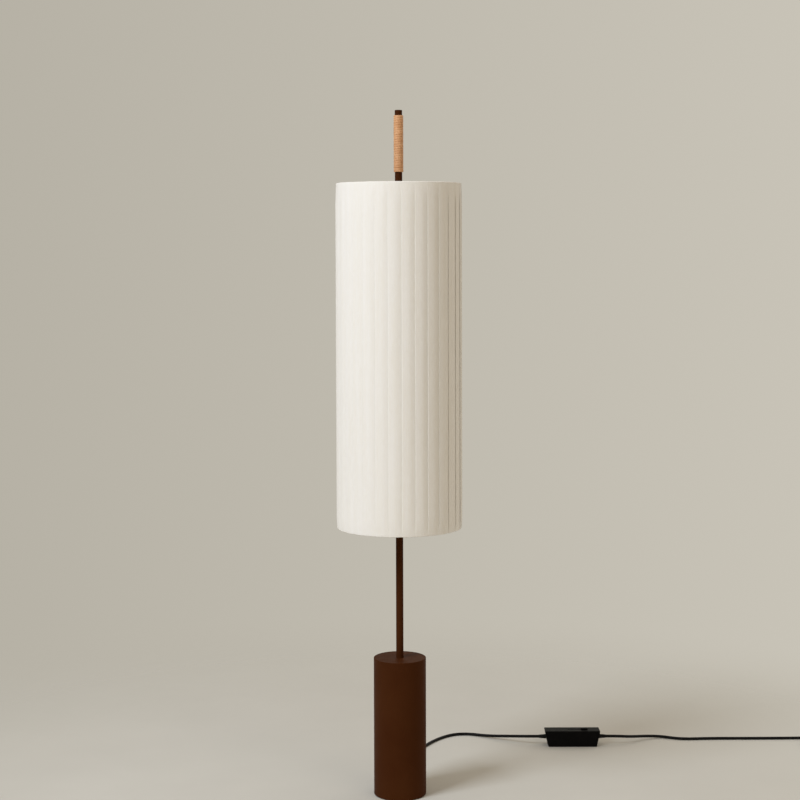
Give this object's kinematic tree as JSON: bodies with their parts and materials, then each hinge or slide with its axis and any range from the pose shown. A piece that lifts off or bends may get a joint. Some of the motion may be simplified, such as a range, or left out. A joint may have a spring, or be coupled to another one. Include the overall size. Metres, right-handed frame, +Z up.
{
  "type": "floor lamp",
  "caption": "Slim floor lamp: a cylindrical shade of lapped paper strips on a stem with a wound grip on top, a weighted round base, and a corded slide dimmer.",
  "frame": {"origin": "on the floor, on the stem's axis, under the middle of the base", "axes": "+Z up along the stem; +Y the side on which the mains lead leaves the base; +X the side to which the lead runs"},
  "size_m": [1.0713, 0.5115, 1.308],
  "materials": {
    "brown_paint": "satin brown powder coat",
    "shade_paper": "matte lapped strips",
    "cream_wire": "satin paint",
    "zinc_steel": "bright zinc plate",
    "cast_iron": "rough casting",
    "black_rubber": "matte",
    "cord_jacket": "smooth flexible jacket",
    "lead_insulation": "smooth insulation",
    "black_plastic": "fine moulded grain",
    "holder_plastic": "moulded, glossy",
    "brass": "plain",
    "nickel": "nickel plate",
    "ceramic": "unglazed",
    "bulb_metal": "rolled thread",
    "bulb_glass": "white frosted",
    "grip_leather": "smooth tan strip, tightly wound",
    "circuit_board": "printed board"
  },
  "bodies": {
    "stand": {"base_plate": "zinc_steel", "base_plate_screws": "zinc_steel", "base_relief": "black_rubber", "base_shell": "brown_paint", "base_weight": "cast_iron", "clamp_nut": "zinc_steel", "clamp_screws": "zinc_steel", "clamp_washer": "zinc_steel", "coil_tie": "black_plastic", "cord_clamp": "black_plastic", "cord_coil": "cord_jacket", "cord_tail": "cord_jacket", "cord_to_coil": "cord_jacket", "cord_to_dimmer": "cord_jacket", "dimmer_base": "black_plastic", "dimmer_board": "circuit_board", "dimmer_boots": "black_rubber", "dimmer_cover": "black_plastic", "dimmer_fader": "black_plastic", "dimmer_screws": "zinc_steel", "floor_pad": "black_rubber", "foot_bush": "brass", "grip_rod": "zinc_steel", "grip_winding": "grip_leather", "inner_cable": "cord_jacket", "lower_bracket": "zinc_steel", "lower_contact_block": "ceramic", "lower_holder_cap": "holder_plastic", "lower_holder_shell": "holder_plastic", "lower_lead": "lead_insulation", "lower_screw_shell": "brass", "nipple_nuts": "zinc_steel", "plug_body": "black_plastic", "plug_pins": "nickel", "set_screws": "zinc_steel", "shade_collar": "zinc_steel", "shade_washer": "holder_plastic", "spacer_tube": "zinc_steel", "stem_cap": "brown_paint", "stem_coupler": "zinc_steel", "stem_lower": "brown_paint", "stem_upper": "brown_paint", "threaded_tube": "zinc_steel", "upper_bracket": "zinc_steel", "upper_contact_block": "ceramic", "upper_holder_cap": "holder_plastic", "upper_holder_shell": "holder_plastic", "upper_lead": "lead_insulation", "upper_screw_shell": "brass"},
    "shade": {"shade_cover": "shade_paper", "shade_top_ring": "cream_wire", "shade_bottom_ring": "cream_wire", "shade_struts": "cream_wire", "top_spider": "cream_wire", "bottom_spider": "cream_wire"},
    "slider": {"dimmer_slider": "black_plastic"},
    "bulb_lower": {"lower_bulb_cap": "bulb_metal", "lower_bulb_glass": "bulb_glass"},
    "bulb_upper": {"upper_bulb_cap": "bulb_metal", "upper_bulb_glass": "bulb_glass"}
  },
  "joints": [
    {"name": "shade_turn", "type": "hinge", "parent": "stand", "child": "shade", "pos_m": [0, 0, 1.1495], "axis": [0, 0, 1], "continuous": true},
    {"name": "dimmer_slide", "type": "slide", "parent": "stand", "child": "slider", "axis": [-1, 0, 0], "range_m": [0, 0.03]},
    {"name": "bulb_lower_out", "type": "slide", "parent": "stand", "child": "bulb_lower", "axis": [0, 0, 1], "range_m": [0, 0.028]},
    {"name": "bulb_upper_out", "type": "slide", "parent": "stand", "child": "bulb_upper", "axis": [0, 0, 1], "range_m": [0, 0.028]}
  ]
}
